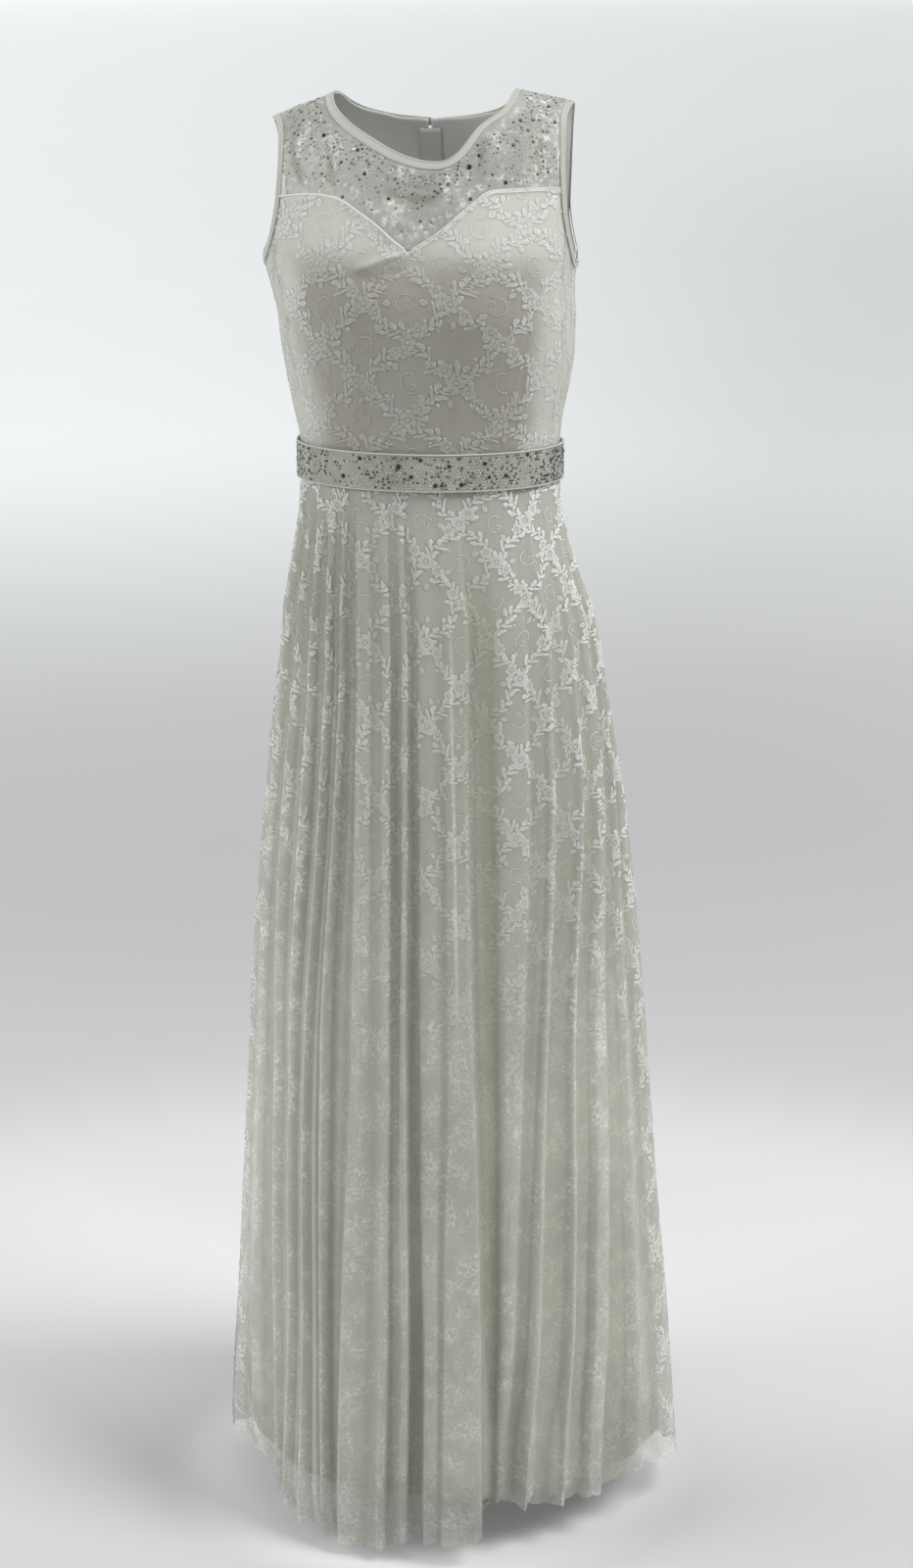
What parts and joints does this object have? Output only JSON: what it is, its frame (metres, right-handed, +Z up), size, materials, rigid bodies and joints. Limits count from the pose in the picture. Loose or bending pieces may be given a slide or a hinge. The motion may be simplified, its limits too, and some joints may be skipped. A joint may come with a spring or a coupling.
{
  "type": "evening dress",
  "caption": "Floor-length sleeveless evening dress: sheer studded yoke, lace bodice, jewelled belt, pleated lace skirt over a lining; hollow, in worn form.",
  "frame": {"origin": "between the two shoulder seams of the worn dress, where the wearer's shoulders carry it", "axes": "+Z up along the wearer, -Y towards the front of the dress, +X to the wearer's left"},
  "size_m": [0.4935, 0.4942, 1.4768],
  "materials": {
    "lace": "ivory lace on fine net, matte with a soft sheen on the raised thread",
    "lining": "warm taupe woven lining, matte",
    "lining_back": "plain pale woven cloth, matte",
    "net": "sheer knitted net with small stones",
    "binding": "soft self-coloured bias binding",
    "belt": "cloth band covered with small clear and smoke-coloured stones",
    "zip": "woven zip tape",
    "metal": "satin nickel",
    "metal_pull": "satin nickel"
  },
  "bodies": {
    "dress": {"bodice_front_lining": "lining", "bodice_front_lace": "lace", "yoke_front": "net", "back_left": "lining_back", "back_right": "lining_back", "neck_binding": "binding", "armhole_binding_left": "binding", "armhole_binding_right": "binding", "belt": "belt", "skirt_lace_front": "lace", "skirt_lace_back_left": "lace", "skirt_lace_back_right": "lace", "skirt_lining_front": "lining", "skirt_lining_back_left": "lining", "skirt_lining_back_right": "lining", "zip_tape": "zip", "zip_slider": "metal"},
    "zip_pull_tab": {"zip_pull": "metal_pull"}
  },
  "joints": [
    {"name": "zip_pull_swing", "type": "hinge", "parent": "dress", "child": "zip_pull_tab", "pos_m": [-0.009, 0.0856, -0.0346], "axis": [1, 0, 0], "range_deg": [0, 120]}
  ]
}
